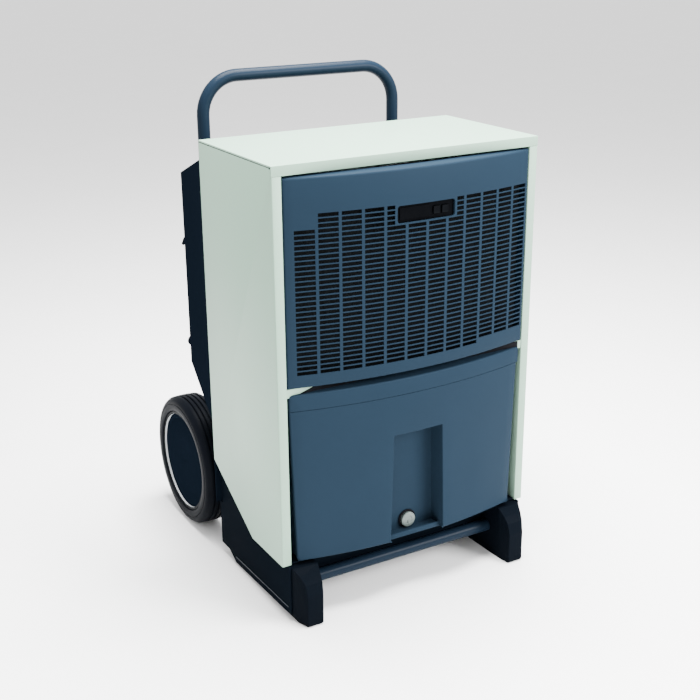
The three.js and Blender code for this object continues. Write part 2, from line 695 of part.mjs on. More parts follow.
// The three pipes pass the fan shroud at its cut-away corner and end at the coils' right-hand plates.
const COIL_END = COIL_HALF + WALL + 0.4;
const CONDENSER_Y = CONDENSER_FRONT + COIL_DEPTH / 2;
const EVAPORATOR_Y = EVAPORATOR_FRONT + COIL_DEPTH / 2;
function dischargePipe() {
  const [x, height] = [210, 470];
  const { y } = COMPRESSOR;
  const route = [
    [COMPRESSOR.x, y, 331], [COMPRESSOR.x, y, 415], [x, y, 415], [x, y, height],
    [x, CONDENSER_Y, height], [COIL_END, CONDENSER_Y, height],
  ];
  return bent(route, 4, 6, 8, 3);
}

function suctionPipe() {
  const [x, height] = [221, 500];
  const { y } = COMPRESSOR;
  const route = [
    [ACCUMULATOR_X, y, 290.4], [ACCUMULATOR_X, y, 380], [x, y, 380], [x, y, height],
    [x, EVAPORATOR_Y, height], [COIL_END, EVAPORATOR_Y, height],
  ];
  return bent(route, 4.5, 9, 8, 3);
}

function liquidPipe() {
  const [x, height] = [214, 700];
  const route = [
    [COIL_END, CONDENSER_Y, height], [x, CONDENSER_Y, height], [x, EVAPORATOR_Y, height],
    [COIL_END, EVAPORATOR_Y, height],
  ];
  return bent(route, 3, 6, 8, 3);
}

// ---- air path ----
function fanShroud() {
  const plate = [
    [-242, 416], [203, 416], [203, 516], [242, 516], [242, 742], [-242, 742],
  ];
  return joined(
    alongY(plate, [SHROUD_Y, SHROUD_Y + 2.5], [ring(0, FAN_Z, FAN_HOLE, 32)]),
    alongY(ring(0, FAN_Z, FAN_HOLE + 3, 32), [SHROUD_Y, SHROUD_Y + 16], [ring(0, FAN_Z, FAN_HOLE, 32)]),
  );
}

function fanRotor() {
  const parts = [rodY(0, FAN_Z, 38, [186, 212], 20)];
  const blades = 5;
  for (let i = 0; i < blades; i++) {
    const blade = new THREE.BoxGeometry(100, 3, 56).rotateX(0.42).translate(83, 0, 0);
    blade.rotateY((2 * Math.PI * i) / blades).translate(0, 199, FAN_Z);
    parts.push(solid(blade));
  }
  return cut(joined(...parts), rodY(0, FAN_Z, 5.6, [196, 220], 12));
}

function fanMotor() {
  return joined(rodY(0, FAN_Z, 45, [217, 286], 24), rodY(0, FAN_Z, 5, [198, 230], 12));
}

function motorBracket() {
  const from = SHROUD_Y + 2.8;
  const height = [FAN_Z - 14, FAN_Z + 14];
  return joined(
    block([-156, 156], [286.4, 290], height),
    block([-156, -152], [from, 290], height),
    block([152, 156], [from, 290], height),
  );
}

function dripTray() {
  const { x, y } = DRIP_HOLE;
  return cut(
    joined(block([-202, 202], [26, 148], [SHELF + 1, 424]), rodZ(x, y, 8, [SHELF - 1.4, 402], 12)),
    block([-200, 200], [28, 146], [SHELF + 3, 430]),
    rodZ(x, y, 6, [390, 405], 12),
  );
}

// The sheet behind and above the tank bay.
function partition() {
  const rear = PARTITION_Y + SHEET;
  return cut(
    joined(
      block([-PAN_HALF, PAN_HALF], [PARTITION_Y, rear], [PAN_FLOOR + 0.5, SHELF]),
      block([-PAN_HALF, PAN_HALF], [23, rear], [SHELF - SHEET, SHELF]),
    ),
    rodZ(DRIP_HOLE.x, DRIP_HOLE.y, 12, [390, 405], 12),
  );
}

function electricalBox() {
  return cut(
    block([-160, -50], [190, 300], [PAN_FLOOR + GAP, 260]),
    block([-157, -53], [193, 297], [PAN_FLOOR - 1, 257]),
  );
}

// ---- assembly ----
for (const [side, name] of [[-1, "left"], [1, "right"]]) {
  piece("side_panel_" + name, sidePanel(side), cabinetWhite);
  piece("frame_side_" + name, frameSide(side), frameBlack);
  piece("foot_" + name, foot(side), casingBlack);
  piece("axle_bracket_" + name, axleBracket(side), frameBlack);
  wheel(side, name);
  piece("handle_sleeve_" + name, handleSleeve(side), casingBlack);
  piece("clamp_knob_" + name, clampKnob(side), keyBlack);
}
piece("top_cover", topCover(), cabinetWhite);
piece("cross_rail", crossRail(), cabinetWhite);
piece("base_pan", basePan(), frameBlack);
piece("cross_tube", rodX(CROSS_TUBE.y, CROSS_TUBE.z, TUBE_RADIUS, [-231.6, 231.6], 20), handleBlue);
piece("axle", rodX(AXLE_Y, TYRE_RADIUS, AXLE_RADIUS, [-234.5, 234.5], 16), steel);
piece("rear_casing", rearCasing(), casingBlack);
piece("outlet_grille", outletGrille(), casingBlack);
piece("cable_gland", cableGland(), keyBlack);
piece("cord_hook", cordHook(), frameBlack);
piece("cord_peg", cordPeg(), casingBlack);
piece("handle", handle(), handleBlue);
piece("front_grille", frontGrille(), frontBlue);
piece("air_filter", block([-218, 218], [9, 17], [420, 736]), filterGrey);
piece("control_fascia", controlFascia(), displayGloss);
piece("display_lens", block([-38, 18], [FASCIA_FRONT - 1.4, FASCIA_FRONT - 0.3], [664, 683]), displayGloss);
piece("control_board", block([-32, 56], [-14.6, -13], [660, 688]), boardGreen);
piece("power_button", key(KEYS[0]), keyBlack);
piece("mode_button", key(KEYS[1]), keyBlack);
piece("tank", tank(), frontBlue);
piece("drain_plug", drainPlug(), plugGrey);
piece("tank_float", tankFloat(), floatWhite);
piece("tank_switch", block([-142, -118], [151.4, PARTITION_Y - GAP], [368, 388]), keyBlack);
piece("evaporator", coil(EVAPORATOR_FRONT), aluminium);
piece("condenser", coil(CONDENSER_FRONT), aluminium);
piece("compressor", compressor(), compressorBlack);
[[-64, -39], [64, -39], [0, 70]].forEach(([dx, dy], i) => {
  piece("compressor_grommet_" + (i + 1), grommet(COMPRESSOR.x + dx, COMPRESSOR.y + dy), mountRubber);
});
piece("accumulator", rodZ(ACCUMULATOR_X, COMPRESSOR.y, 22, [150, 290], 16), compressorBlack);
piece("discharge_pipe", dischargePipe(), copper);
piece("suction_pipe", suctionPipe(), copper);
piece("liquid_pipe", liquidPipe(), copper);
piece("fan_shroud", fanShroud(), galvanised);
piece("fan_rotor", fanRotor(), moulded);
piece("fan_motor", fanMotor(), aluminium);
piece("motor_bracket", motorBracket(), galvanised);
piece("drip_tray", dripTray(), moulded);
piece("partition", partition(), galvanised);
piece("electrical_box", electricalBox(), moulded);

// The origin is the middle of the footprint: halfway from the feet's noses to the back of the tyres.
machine.position.y = -(FOOT_FRONT + AXLE_Y + TYRE_RADIUS) / 2;

export default machine;
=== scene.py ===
import math

import bmesh
import bpy
from mathutils import Matrix, Vector


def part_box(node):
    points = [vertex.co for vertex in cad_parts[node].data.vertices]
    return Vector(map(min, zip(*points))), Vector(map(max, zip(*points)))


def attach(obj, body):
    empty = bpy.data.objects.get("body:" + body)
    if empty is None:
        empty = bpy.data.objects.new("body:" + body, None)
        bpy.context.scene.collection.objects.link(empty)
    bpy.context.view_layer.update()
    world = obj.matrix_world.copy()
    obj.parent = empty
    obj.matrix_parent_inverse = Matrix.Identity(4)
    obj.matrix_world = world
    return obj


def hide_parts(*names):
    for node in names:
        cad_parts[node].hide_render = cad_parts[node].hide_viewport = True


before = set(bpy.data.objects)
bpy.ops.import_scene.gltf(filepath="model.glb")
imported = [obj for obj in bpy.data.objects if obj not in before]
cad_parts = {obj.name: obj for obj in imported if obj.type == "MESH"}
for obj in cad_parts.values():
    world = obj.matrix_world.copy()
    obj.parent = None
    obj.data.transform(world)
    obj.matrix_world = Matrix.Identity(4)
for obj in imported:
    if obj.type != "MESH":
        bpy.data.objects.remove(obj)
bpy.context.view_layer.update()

# ---- driving sizes, in millimetres from the middle, the cabinet's front plane and the floor ----
MM = 0.001
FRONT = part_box("side_panel_left")[0][1]
CABINET_HALF = 245.0
CABINET_TOP = 765.0
COVER_LIP = 3.6
BULGE = 29.0
GRILLE_HALF = 228.5
GRILLE_SPAN = (412.5, 745.5)
GRILLE_WALL = 2.2
GRILLE_RETURN = 26.0
COLUMNS = 12
WIDE_COLUMNS = 7
SHORT_COLUMNS = 3
GRID_LEFT = -216.5
WIDE_PITCH = 37.85
NARROW_PITCH = 35.6
RIB = 5.0
HALF_SLOT = 14.0
ROWS = 32
ROW_PITCH = 8.05
SLOT_HEIGHT = 6.1
TOP_ROW = 689.5
LEFT_ROWS_MISSING = 3
WINDOW = (-44.5, 63.5)
WINDOW_SPAN = (659.5, 687.5)
WINDOW_DEPTH = 4.0
WINDOW_ROWS = 4
WINDOW_COLUMNS = (4, 7)
RIM_ENDS = (-228.7, 226.0)
RIM_SEAM = 374.0
SEAM_WIDTH = 0.8
SEAM_DEPTH = 1.5
TANK_TOP_ENDS = (-228.7, 221.5)
TANK_LOW_ENDS = (-220.5, 212.5)
TANK_SPAN = (107.0, 402.0)
TANK_WALL = 3.0
TANK_RETURN = 40.0
RECESS_TOP_HALF = 47.5
RECESS_LOW_HALF = 53.0
RECESS_SPAN = (110.0, 303.5)
RECESS_DEPTH = 34.0
TANK_BOW_HALF = 226.0
AXLE = (424.0, 125.0)
TUBE_RADIUS = 11.0
HANDLE_BEND = 65.0
CAMERA_PLACE = (-992.4, -1528.1, 1095.7)

# ---- the camera's angles, in degrees ----
CAMERA_TURN = -29.87
CAMERA_DOWN = 19.89
CAMERA_ROLL = -0.45

# ---- distances that count as touching, in metres ----
CLOSE = 1e-5
MERGE = 1e-6


def at(x, y, z):
    """A place in metres from millimetres, with y counted from the cabinet's front plane."""
    return Vector((x * MM, FRONT + y * MM, z * MM))


# ---- making and shaping meshes ----
def put_down():
    """Leaves edit mode and selects nothing."""
    if bpy.context.object and bpy.context.object.mode != "OBJECT":
        bpy.ops.object.mode_set(mode="OBJECT")
    bpy.ops.object.select_all(action="DESELECT")


def take_up(obj):
    put_down()
    obj.select_set(True)
    bpy.context.view_layer.objects.active = obj


def start_editing(obj):
    take_up(obj)
    bpy.ops.object.mode_set(mode="EDIT")
    bpy.ops.mesh.select_mode(type="FACE")
    bpy.ops.mesh.select_all(action="SELECT")


def just_added(name):
    obj = bpy.context.object
    obj.name = name
    obj.data.name = name
    bpy.ops.object.transform_apply(location=True, rotation=True, scale=True)
    return obj


def settle(obj):
    """Puts the object's own place into its mesh."""
    take_up(obj)
    bpy.ops.object.transform_apply(location=True, rotation=True, scale=True)


def middle(element):
    if isinstance(element, bmesh.types.BMVert):
        return element.co
    points = [vertex.co for vertex in element.verts]
    return sum(points, Vector()) / len(points)


def pick(obj, kind, test):
    """Selects the faces, edges or vertices that pass a test."""
    bpy.ops.mesh.select_mode(type=kind)
    bpy.ops.mesh.select_all(action="DESELECT")
    mesh = bmesh.from_edit_mesh(obj.data)
    found = {"FACE": mesh.faces, "EDGE": mesh.edges, "VERT": mesh.verts}[kind]
    for element in found:
        if test(element):
            element.select_set(True)
    bmesh.update_edit_mesh(obj.data)


def push(depth):
    """Extrudes what is selected straight back, by millimetres."""
    bpy.ops.mesh.extrude_region_move(TRANSFORM_OT_translate={"value": (0, depth * MM, 0)})


def round_edges(width, steps=2, affect="EDGES"):
    bpy.ops.mesh.bevel(offset=width * MM, segments=steps, affect=affect)


def with_modifier(obj, kind, **settings):
    take_up(obj)
    made = obj.modifiers.new(kind.lower(), kind)
    for name, value in settings.items():
        setattr(made, name, value)
    bpy.ops.object.modifier_apply(modifier=made.name)


def ease(obj, width, steps=2, angle=40):
    """Rounds every sharp edge a little."""
    with_modifier(
        obj, "BEVEL", width=width * MM, segments=steps, limit_method="ANGLE",
        angle_limit=math.radians(angle), use_clamp_overlap=True,
    )


def close_up(obj):
    """Merges what meets and turns the faces outwards."""
    start_editing(obj)
    bpy.ops.mesh.remove_doubles(threshold=MERGE)
    bpy.ops.mesh.normals_make_consistent(inside=False)
    put_down()


def fit_out(obj, finish, body, slot, *nodes, smooth=38):
    """Gives a piece its finish, its body and the nodes that it stands for."""
    take_up(obj)
    bpy.ops.object.shade_smooth_by_angle(angle=math.radians(smooth))
    if obj.data.materials:
        obj.data.materials[0] = finish
    else:
        obj.data.materials.append(finish)
    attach(obj, body)
    if nodes:
        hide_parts(*nodes)
    put_down()


def mirrored(obj, name):
    """The other side's copy of a piece, with a mesh of its own."""
    twin = obj.copy()
    twin.data = obj.data.copy()
    twin.name = name
    twin.data.name = name
    bpy.context.collection.objects.link(twin)
    twin.scale.x = -1
    settle(twin)
    close_up(twin)
    return twin


def whole_copy(node):
    """A copy of a node with its loose triangles joined into flat faces."""
    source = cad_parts[node]
    obj = source.copy()
    obj.data = source.data.copy()
    obj.name = node + "_shaped"
    obj.parent = None
    obj.matrix_world = Matrix()
    bpy.context.collection.objects.link(obj)
    start_editing(obj)
    bpy.ops.mesh.remove_doubles(threshold=MERGE)
    bpy.ops.mesh.dissolve_limited(angle_limit=math.radians(0.6))
    put_down()
    return obj


def cube_between(name, low, high):
    put_down()
    bpy.ops.mesh.primitive_cube_add(size=1, location=(low + high) / 2, scale=high - low)
    return just_added(name)


def block(name, low, high):
    return cube_between(name, at(*low), at(*high))


def turned(name, outline, centre, axis="X", steps=64, closed=True):
    """A section of (radius, reach) points spun about an axis through a centre."""
    def place(radius, reach):
        if axis == "X":
            return Vector((reach * MM, 0, radius * MM))
        return Vector((radius * MM, reach * MM, 0))

    put_down()
    points = [place(*point) for point in outline]
    bpy.ops.mesh.primitive_plane_add(size=1, location=(0, 0, 0))
    obj = just_added(name)
    start_editing(obj)
    bpy.ops.mesh.select_mode(type="VERT")
    bpy.ops.mesh.merge(type="CENTER")
    bpy.ops.transform.translate(value=points[0])
    for before, after in zip(points, points[1:] + points[:1] * closed):
        bpy.ops.mesh.extrude_region_move(TRANSFORM_OT_translate={"value": after - before})
    bpy.ops.mesh.select_all(action="SELECT")
    bpy.ops.mesh.remove_doubles(threshold=MERGE)
    direction = (1, 0, 0) if axis == "X" else (0, 1, 0)
    bpy.ops.mesh.spin(steps=steps, angle=2 * math.pi, center=(0, 0, 0), axis=direction)
    put_down()
    close_up(obj)
    obj.location = centre
    settle(obj)
    return obj


def line_grid(name, across, up, spot):
    """An upright sheet with lines across and up, each crossing placed by a rule."""
    put_down()
    columns, rows = len(across) - 1, len(up) - 1
    bpy.ops.mesh.primitive_grid_add(
        x_subdivisions=columns, y_subdivisions=rows, size=1, rotation=(math.pi / 2, 0, 0)
    )
    obj = just_added(name)
    for vertex in obj.data.vertices:
        u = across[round((vertex.co.x + 0.5) * columns)]
        v = up[round((vertex.co.z + 0.5) * rows)]
        x, z = spot(u, v)
        vertex.co = Vector((x * MM, 0, z * MM))
    return obj


def bow_radius(half):
    return (half * half + BULGE * BULGE) / (2 * BULGE)


def bow(obj, half):
    """Bends an upright sheet to the front's curve, its ends on the front plane."""
    width = max(v.co.x for v in obj.data.vertices) - min(v.co.x for v in obj.data.vertices)
    with_modifier(
        obj, "SIMPLE_DEFORM", deform_method="BEND", deform_axis="Z",
        angle=width / (bow_radius(half) * MM),
    )
    obj.location = at(0, -BULGE, 0)
    settle(obj)


def flat_half(half):
    """Half the length of the front's curve."""
    return bow_radius(half) * math.asin(half / bow_radius(half))


# ---- finishes ----
class Amount:
    """A number that varies over a surface, for plain arithmetic."""

    def __init__(self, finish, socket):
        self.finish = finish
        self.socket = socket

    def _math(self, operation, first, second):
        made = self.finish.add("ShaderNodeMath", {"operation": operation}, {0: first, 1: second})
        return Amount(self.finish, made.outputs[0])

    def __add__(self, other):
        return self._math("ADD", self, other)

    def __mul__(self, other):
        return self._math("MULTIPLY", self, other)

    def __rsub__(self, other):
        return self._math("SUBTRACT", other, self)

    def __gt__(self, other):
        return self._math("GREATER_THAN", self, other)

    def power(self, other):
        return self._math("POWER", self, other)

    def sine(self):
        return self._math("SINE", self, 0.0)

    __radd__ = __add__
    __rmul__ = __mul__


class Finish:
    """A surface finish built from nodes on object coordinates."""

    def __init__(self, name, roughness, metallic=0.0, **settings):
        self.material = bpy.data.materials.new(name)
        self.material.use_nodes = True
        self.tree = self.material.node_tree
        self.shader = self.tree.nodes["Principled BSDF"]
        self.shader.inputs["Roughness"].default_value = roughness
        self.shader.inputs["Metallic"].default_value = metallic
        for socket, value in settings.items():
            label = socket.replace("_", " ").title().replace("Ior", "IOR")
            self.shader.inputs[label].default_value = value
        self.place = self.add("ShaderNodeTexCoord").outputs["Object"]

    def add(self, kind, settings=None, inputs=None):
        made = self.tree.nodes.new(kind)
        for name, value in (settings or {}).items():
            setattr(made, name, value)
        for name, value in (inputs or {}).items():
            self.feed(made.inputs[name], value)
        return made

    def feed(self, socket, value):
        if isinstance(value, Amount):
            value = value.socket
        if isinstance(value, bpy.types.NodeSocket):
            self.tree.links.new(value, socket)
        else:
            socket.default_value = value

    def noise(self, scale, detail=2.0, roughness=0.5):
        made = self.add(
            "ShaderNodeTexNoise", None,
            {"Vector": self.place, "Scale": scale, "Detail": detail, "Roughness": roughness},
        )
        return Amount(self, made.outputs["Fac"])

    def cells(self, scale, output="Distance"):
        made = self.add("ShaderNodeTexVoronoi", None, {"Vector": self.place, "Scale": scale})
        return Amount(self, made.outputs[output])

    def along(self, axis):
        parts = self.add("ShaderNodeSeparateXYZ", None, {0: self.place})
        return Amount(self, parts.outputs[axis])

    def mix(self, amount, first, second):
        made = self.add(
            "ShaderNodeMix", {"data_type": "RGBA"}, {0: amount, 6: rgba(first), 7: rgba(second)}
        )
        return made.outputs[2]

    def colour(self, value):
        self.feed(self.shader.inputs["Base Color"], value)

    def rough(self, value):
        self.feed(self.shader.inputs["Roughness"], value)

    def relief(self, height, depth):
        """Bump of a real depth in millimetres."""
        made = self.add("ShaderNodeBump", None, {"Height": height, "Distance": depth * MM})
        self.feed(self.shader.inputs["Normal"], made.outputs[0])


def rgba(colour):
    if isinstance(colour, tuple) and len(colour) == 3:
        return (*colour, 1.0)
    return colour


def shade(colour, factor):
    return tuple(min(channel * factor, 1.0) for channel in colour[:3])


def powder_coat(name, colour, roughness=0.42, peel=0.05, sheen=0.35):
    finish = Finish(name, roughness, specular_ior_level=sheen)
    cloud = finish.noise(5.0, 3.0)
    grain = finish.noise(1400.0, 1.0)
    finish.colour(finish.mix(cloud * 0.6 + grain * 0.4, shade(colour, 0.95), shade(colour, 1.05)))
    finish.rough(cloud * 0.08 + (roughness - 0.04))
    finish.relief(finish.noise(420.0, 2.0) * 0.7 + grain * 0.3, peel)
    return finish.material


def grained_moulding(name, colour, roughness=0.5, grain=0.06, scale=900.0, sheen=0.12):
    finish = Finish(name, roughness, specular_ior_level=sheen)
    cloud = finish.noise(7.0, 4.0)
    pits = finish.cells(scale)
    finish.colour(finish.mix(cloud, shade(colour, 0.93), shade(colour, 1.07)))
    finish.rough(cloud * 0.12 + (roughness - 0.06))
    finish.relief(pits * 0.6 + finish.noise(scale * 1.7, 1.0) * 0.4, grain)
    return finish.material


def enamel(name, colour, roughness=0.28, sheen=0.3):
    finish = Finish(name, roughness, specular_ior_level=sheen)
    cloud = finish.noise(9.0, 3.0)
    finish.colour(finish.mix(cloud, shade(colour, 0.94), shade(colour, 1.06)))
    finish.rough(cloud * 0.1 + (roughness - 0.05))
    finish.relief(finish.noise(300.0, 2.0), 0.03)
    return finish.material


def rubber(name, colour, roughness=0.78, sheen=0.02):
    finish = Finish(name, roughness, specular_ior_level=sheen)
    dust = finish.noise(14.0, 5.0, 0.6)
    fine = finish.noise(1600.0, 2.0)
    finish.colour(finish.mix(dust * dust, colour, shade(colour, 1.7)))
    finish.rough(dust * 0.2 + (roughness - 0.1))
    finish.relief(fine * 0.6 + dust * 0.4, 0.08)
    return finish.material


def metal(name, colour, roughness=0.3):
    finish = Finish(name, roughness, 1.0)
    scratch = finish.noise(300.0, 3.0, 0.6)
    cloud = finish.noise(12.0, 3.0)
    finish.colour(finish.mix(cloud, shade(colour, 0.88), shade(colour, 1.05)))
    finish.rough(scratch * 0.16 + cloud * 0.08 + (roughness - 0.1))
    finish.relief(scratch, 0.01)
    return finish.material


def spangled_zinc(name):
    finish = Finish(name, 0.42, 0.9)
    flake = finish.cells(110.0, output="Color")
    cloud = finish.noise(20.0, 3.0)
    finish.colour(finish.mix(flake * 0.7 + cloud * 0.3, (0.26, 0.28, 0.29), (0.42, 0.43, 0.44)))
    finish.rough(flake * 0.2 + 0.32)
    finish.relief(cloud, 0.03)
    return finish.material


def fin_pack_with_gap_shade(name):
    """Thin upright fins, darker in the gaps between them as painted shade."""
    pitch = 2.0 * MM
    finish = Finish(name, 0.35, 0.9)
    fins = (finish.along("X") * (2 * math.pi / pitch)).sine() * 0.5 + 0.5
    edge = fins.power(3.0)
    # Painted shade: dark between the fins, light at their edges.
    finish.colour(finish.mix(edge, (0.10, 0.105, 0.11), (0.80, 0.81, 0.82)))
    finish.rough(0.5 - edge * 0.18)
    finish.relief(edge, 0.6)
    return finish.material


def filter_mat(name):
    finish = Finish(name, 0.95, specular_ior_level=0.0)
    pores = finish.cells(420.0)
    fibres = finish.noise(900.0, 3.0, 0.7)
    felt = pores * 1.6 + fibres * 0.3
    finish.colour(finish.mix(felt, (0.0012, 0.0014, 0.0018), (0.005, 0.0055, 0.006)))
    finish.relief(pores + fibres * 0.5, 1.0)
    return finish.material


def circuit_lacquer(name):
    finish = Finish(name, 0.35)
    tracks = (finish.along("X") * 900.0).sine() * (finish.along("Z") * 1300.0).sine()
    finish.colour(finish.mix(tracks > 0.35, (0.02, 0.12, 0.06), (0.05, 0.24, 0.12)))
    finish.rough(finish.noise(60.0) * 0.15 + 0.28)
    finish.relief(tracks > 0.35, 0.05)
    return finish.material


def display_glass(name):
    finish = Finish(name, 0.08, specular_ior_level=0.006)
    smear = finish.noise(40.0, 4.0, 0.6)
    finish.colour(finish.mix(smear, (0.0010, 0.0012, 0.0016), (0.0018, 0.0020, 0.0026)))
    finish.rough(smear * 0.14 + 0.05)
    return finish.material


def pale_floor(name):
    finish = Finish(name, 0.6)
    cloud = finish.noise(3.0, 4.0)
    finish.colour(finish.mix(cloud, (0.88, 0.88, 0.88), (0.92, 0.92, 0.92)))
    return finish.material


CABINET = powder_coat("cabinet_powder_coat", (0.195, 0.30, 0.23), 0.42, sheen=0.2)
BLUE = grained_moulding("slate_blue_moulding", (0.0082, 0.0158, 0.0256), 0.42, sheen=0.01)
CHASSIS = powder_coat("black_powder_coat", (0.0022, 0.0036, 0.0058), 0.5, 0.07, 0.001)
CASING = grained_moulding("dark_casing_moulding", (0.0030, 0.0050, 0.0085), 0.45, sheen=0.0)
FOOT = grained_moulding("black_foot_moulding", (0.0018, 0.0027, 0.0043), 0.4, 0.08, 700.0, 0.004)
# A lighter, glossier enamel than the plate's black, painted as the highlight along the plate's
# fold.
FOLD_HIGHLIGHT = enamel("plate_fold_highlight_enamel", (0.014, 0.019, 0.025), 0.3, 0.14)
TUBE = enamel("dark_blue_enamel", (0.0047, 0.0096, 0.0170), 0.32, 0.035)
TYRE = rubber("tyre_rubber", (0.0024, 0.0030, 0.0044), 0.42, 0.014)
# Black rubber for the mounts and seals, also used for the dark strips painted as shade in the cover
# seams and between grille and tank.
MOUNT_AND_SHADE = rubber("mount_rubber", (0.004, 0.004, 0.005))
HUB = grained_moulding("hubcap_moulding", (0.0030, 0.0052, 0.0090), 0.4, 0.03, sheen=0.0)
RING = enamel("pale_rim_ring", (0.60, 0.63, 0.65), 0.3, 0.5)
RIM = grained_moulding("wheel_moulding", (0.004, 0.005, 0.006), 0.5, sheen=0.02)
KEY = grained_moulding("key_moulding", (0.0018, 0.0021, 0.0027), 0.45, sheen=0.008)
PLUG = grained_moulding("pale_plug_moulding", (0.080, 0.100, 0.096), 0.4, 0.05, sheen=0.3)
FLOAT = grained_moulding("white_float", (0.75, 0.75, 0.72), 0.6, 0.2, 500.0, 0.4)
DARK = grained_moulding("dark_inner_moulding", (0.012, 0.013, 0.015), 0.6)
STEEL = metal("zinc_plated_steel", (0.62, 0.63, 0.64), 0.32)
ALLOY = metal("mill_aluminium", (0.30, 0.31, 0.32), 0.55)
COPPER = metal("drawn_copper", (0.72, 0.36, 0.20), 0.3)
ZINC = spangled_zinc("galvanised_sheet")
FINS_WITH_GAP_SHADE = fin_pack_with_gap_shade("coil_fins_with_gap_shade")
MAT = filter_mat("filter_mat")
BOARD = circuit_lacquer("circuit_board")
GLASS = display_glass("display_glass")
SHELL = enamel("compressor_enamel", (0.006, 0.0065, 0.0075), 0.25)

NODE_FINISHES = {
    "cross_rail": CABINET, "base_pan": CHASSIS, "axle": STEEL, "axle_collar_left": STEEL,
    "axle_collar_right": STEEL, "cable_gland": KEY, "air_filter": MAT, "control_board": BOARD,
    "tank_float": FLOAT, "tank_switch": KEY, "evaporator": FINS_WITH_GAP_SHADE, "condenser": FINS_WITH_GAP_SHADE,
    "compressor": SHELL, "accumulator": SHELL, "discharge_pipe": COPPER, "suction_pipe": COPPER,
    "liquid_pipe": COPPER, "fan_shroud": ZINC, "fan_motor": ALLOY, "motor_bracket": ZINC,
    "drip_tray": DARK, "partition": ZINC, "electrical_box": DARK, "fan_rotor": DARK,
    "compressor_grommet_1": MOUNT_AND_SHADE, "compressor_grommet_2": MOUNT_AND_SHADE, "compressor_grommet_3": MOUNT_AND_SHADE,
    "control_fascia": GLASS, "display_lens": GLASS,
}


def finish_inner_nodes():
    for node, finish in NODE_FINISHES.items():
        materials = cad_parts[node].data.materials
        materials.clear()
        materials.append(finish)


# ---- cabinet ----
def side_panel(side, name):
    node = "side_panel_" + name
    panel = whole_copy(node)
    start_editing(panel)
    fold = side * CABINET_HALF * MM
    pick(panel, "EDGE", lambda e: (
        abs(middle(e).x - fold) < CLOSE and abs(middle(e).y - FRONT) < CLOSE
        and abs(e.verts[0].co.z - e.verts[1].co.z) > 100 * MM
    ))
    round_edges(2.0, 4)
    put_down()
    ease(panel, 0.5, 2)
    fit_out(panel, CABINET, "machine", "cabinet_white", node)


def frame_plate(side, name):
    node = "frame_side_" + name
    plate = whole_copy(node)
    ease(plate, 0.8, 2)
    fit_out(plate, CHASSIS, "machine", "frame_black", node)
    # A bead along the plate's lower fold, in a lighter finish painted as the fold's highlight.
    near, far = sorted((side * 234.9, side * 236))
    fold = block("plate_fold_" + name, (near, 2, 23.5), (far, 210, 25.2))
    start_editing(fold)
    rear_end = at(0, 200, 0).y
    pick(fold, "VERT", lambda v: v.co.y > rear_end)
    bpy.ops.transform.translate(value=(0, 0, -7.5 * MM))
    put_down()
    ease(fold, 0.3, 1)
    fit_out(fold, FOLD_HIGHLIGHT, "machine", "frame_black")


def top_cover():
    cover = whole_copy("top_cover")
    start_editing(cover)
    lip = at(0, 0, CABINET_TOP - COVER_LIP).z
    pick(cover, "FACE", lambda f: (
        f.normal.z < -0.9 and abs(middle(f).z - lip) < CLOSE
        and abs(middle(f).x) > (CABINET_HALF - 5) * MM
    ))
    bpy.ops.transform.translate(value=(0, 0, 1.0 * MM))
    put_down()
    ease(cover, 0.9, 3)
    fit_out(cover, CABINET, "machine", "cabinet_white", "top_cover")


def cabinet():
    for side, name in ((-1, "left"), (1, "right")):
        side_panel(side, name)
        frame_plate(side, name)
        arm = whole_copy("axle_bracket_" + name)
        ease(arm, 0.8, 2)
        fit_out(arm, CHASSIS, "machine", "frame_black", "axle_bracket_" + name)
        foot = whole_copy("foot_" + name)
        ease(foot, 1.8, 2, 4)
        fit_out(foot, FOOT, "machine", "plastic_black", "foot_" + name, smooth=14)
    top_cover()


def rail_gap_shade():
    """A dark strip painted as the shade in the gap between grille and tank, its left end cut on a
    slant.
    """
    strip = block("rail_gap_shade", (-216, -0.4, 399), (221, 1.2, 411.6))
    start_editing(strip)
    corner = at(-200, 0, 410)
    pick(strip, "VERT", lambda v: v.co.x < corner.x and v.co.z > corner.z)
    bpy.ops.transform.translate(value=(42 * MM, 0, 0))
    put_down()
    ease(strip, 0.3, 1)
    fit_out(strip, MOUNT_AND_SHADE, "machine", "mount_rubber")


def cover_seam_shades():
    """A dark strip painted as the shade in the seam under each side of the cover, and a dark disc
    painted as the shade in the hole at its front corner.
    """
    seam = block("cover_seam_shade_right", (243.5, 4, 760.9), (244.75, 265.5, 762.6))
    dot = [(0, 243.4), (1.9, 243.4), (1.9, 245.0), (0, 245.0)]
    # A dark disc painted as the shaded hole at the cover's front corner.
    plug = turned("cover_hole_shade_right", dot, at(0, 5.2, 761.4), "X", 16, closed=False)
    for piece in (mirrored(seam, "cover_seam_shade_left"), mirrored(plug, "cover_hole_shade_left"), seam, plug):
        fit_out(piece, MOUNT_AND_SHADE, "machine", "mount_rubber")


# ---- front ----
def rib_middle(number):
    wide = min(number, WIDE_COLUMNS)
    return GRID_LEFT + wide * WIDE_PITCH + (number - wide) * NARROW_PITCH


def slot_sides(column):
    return rib_middle(column) + RIB / 2, rib_middle(column + 1) - RIB / 2


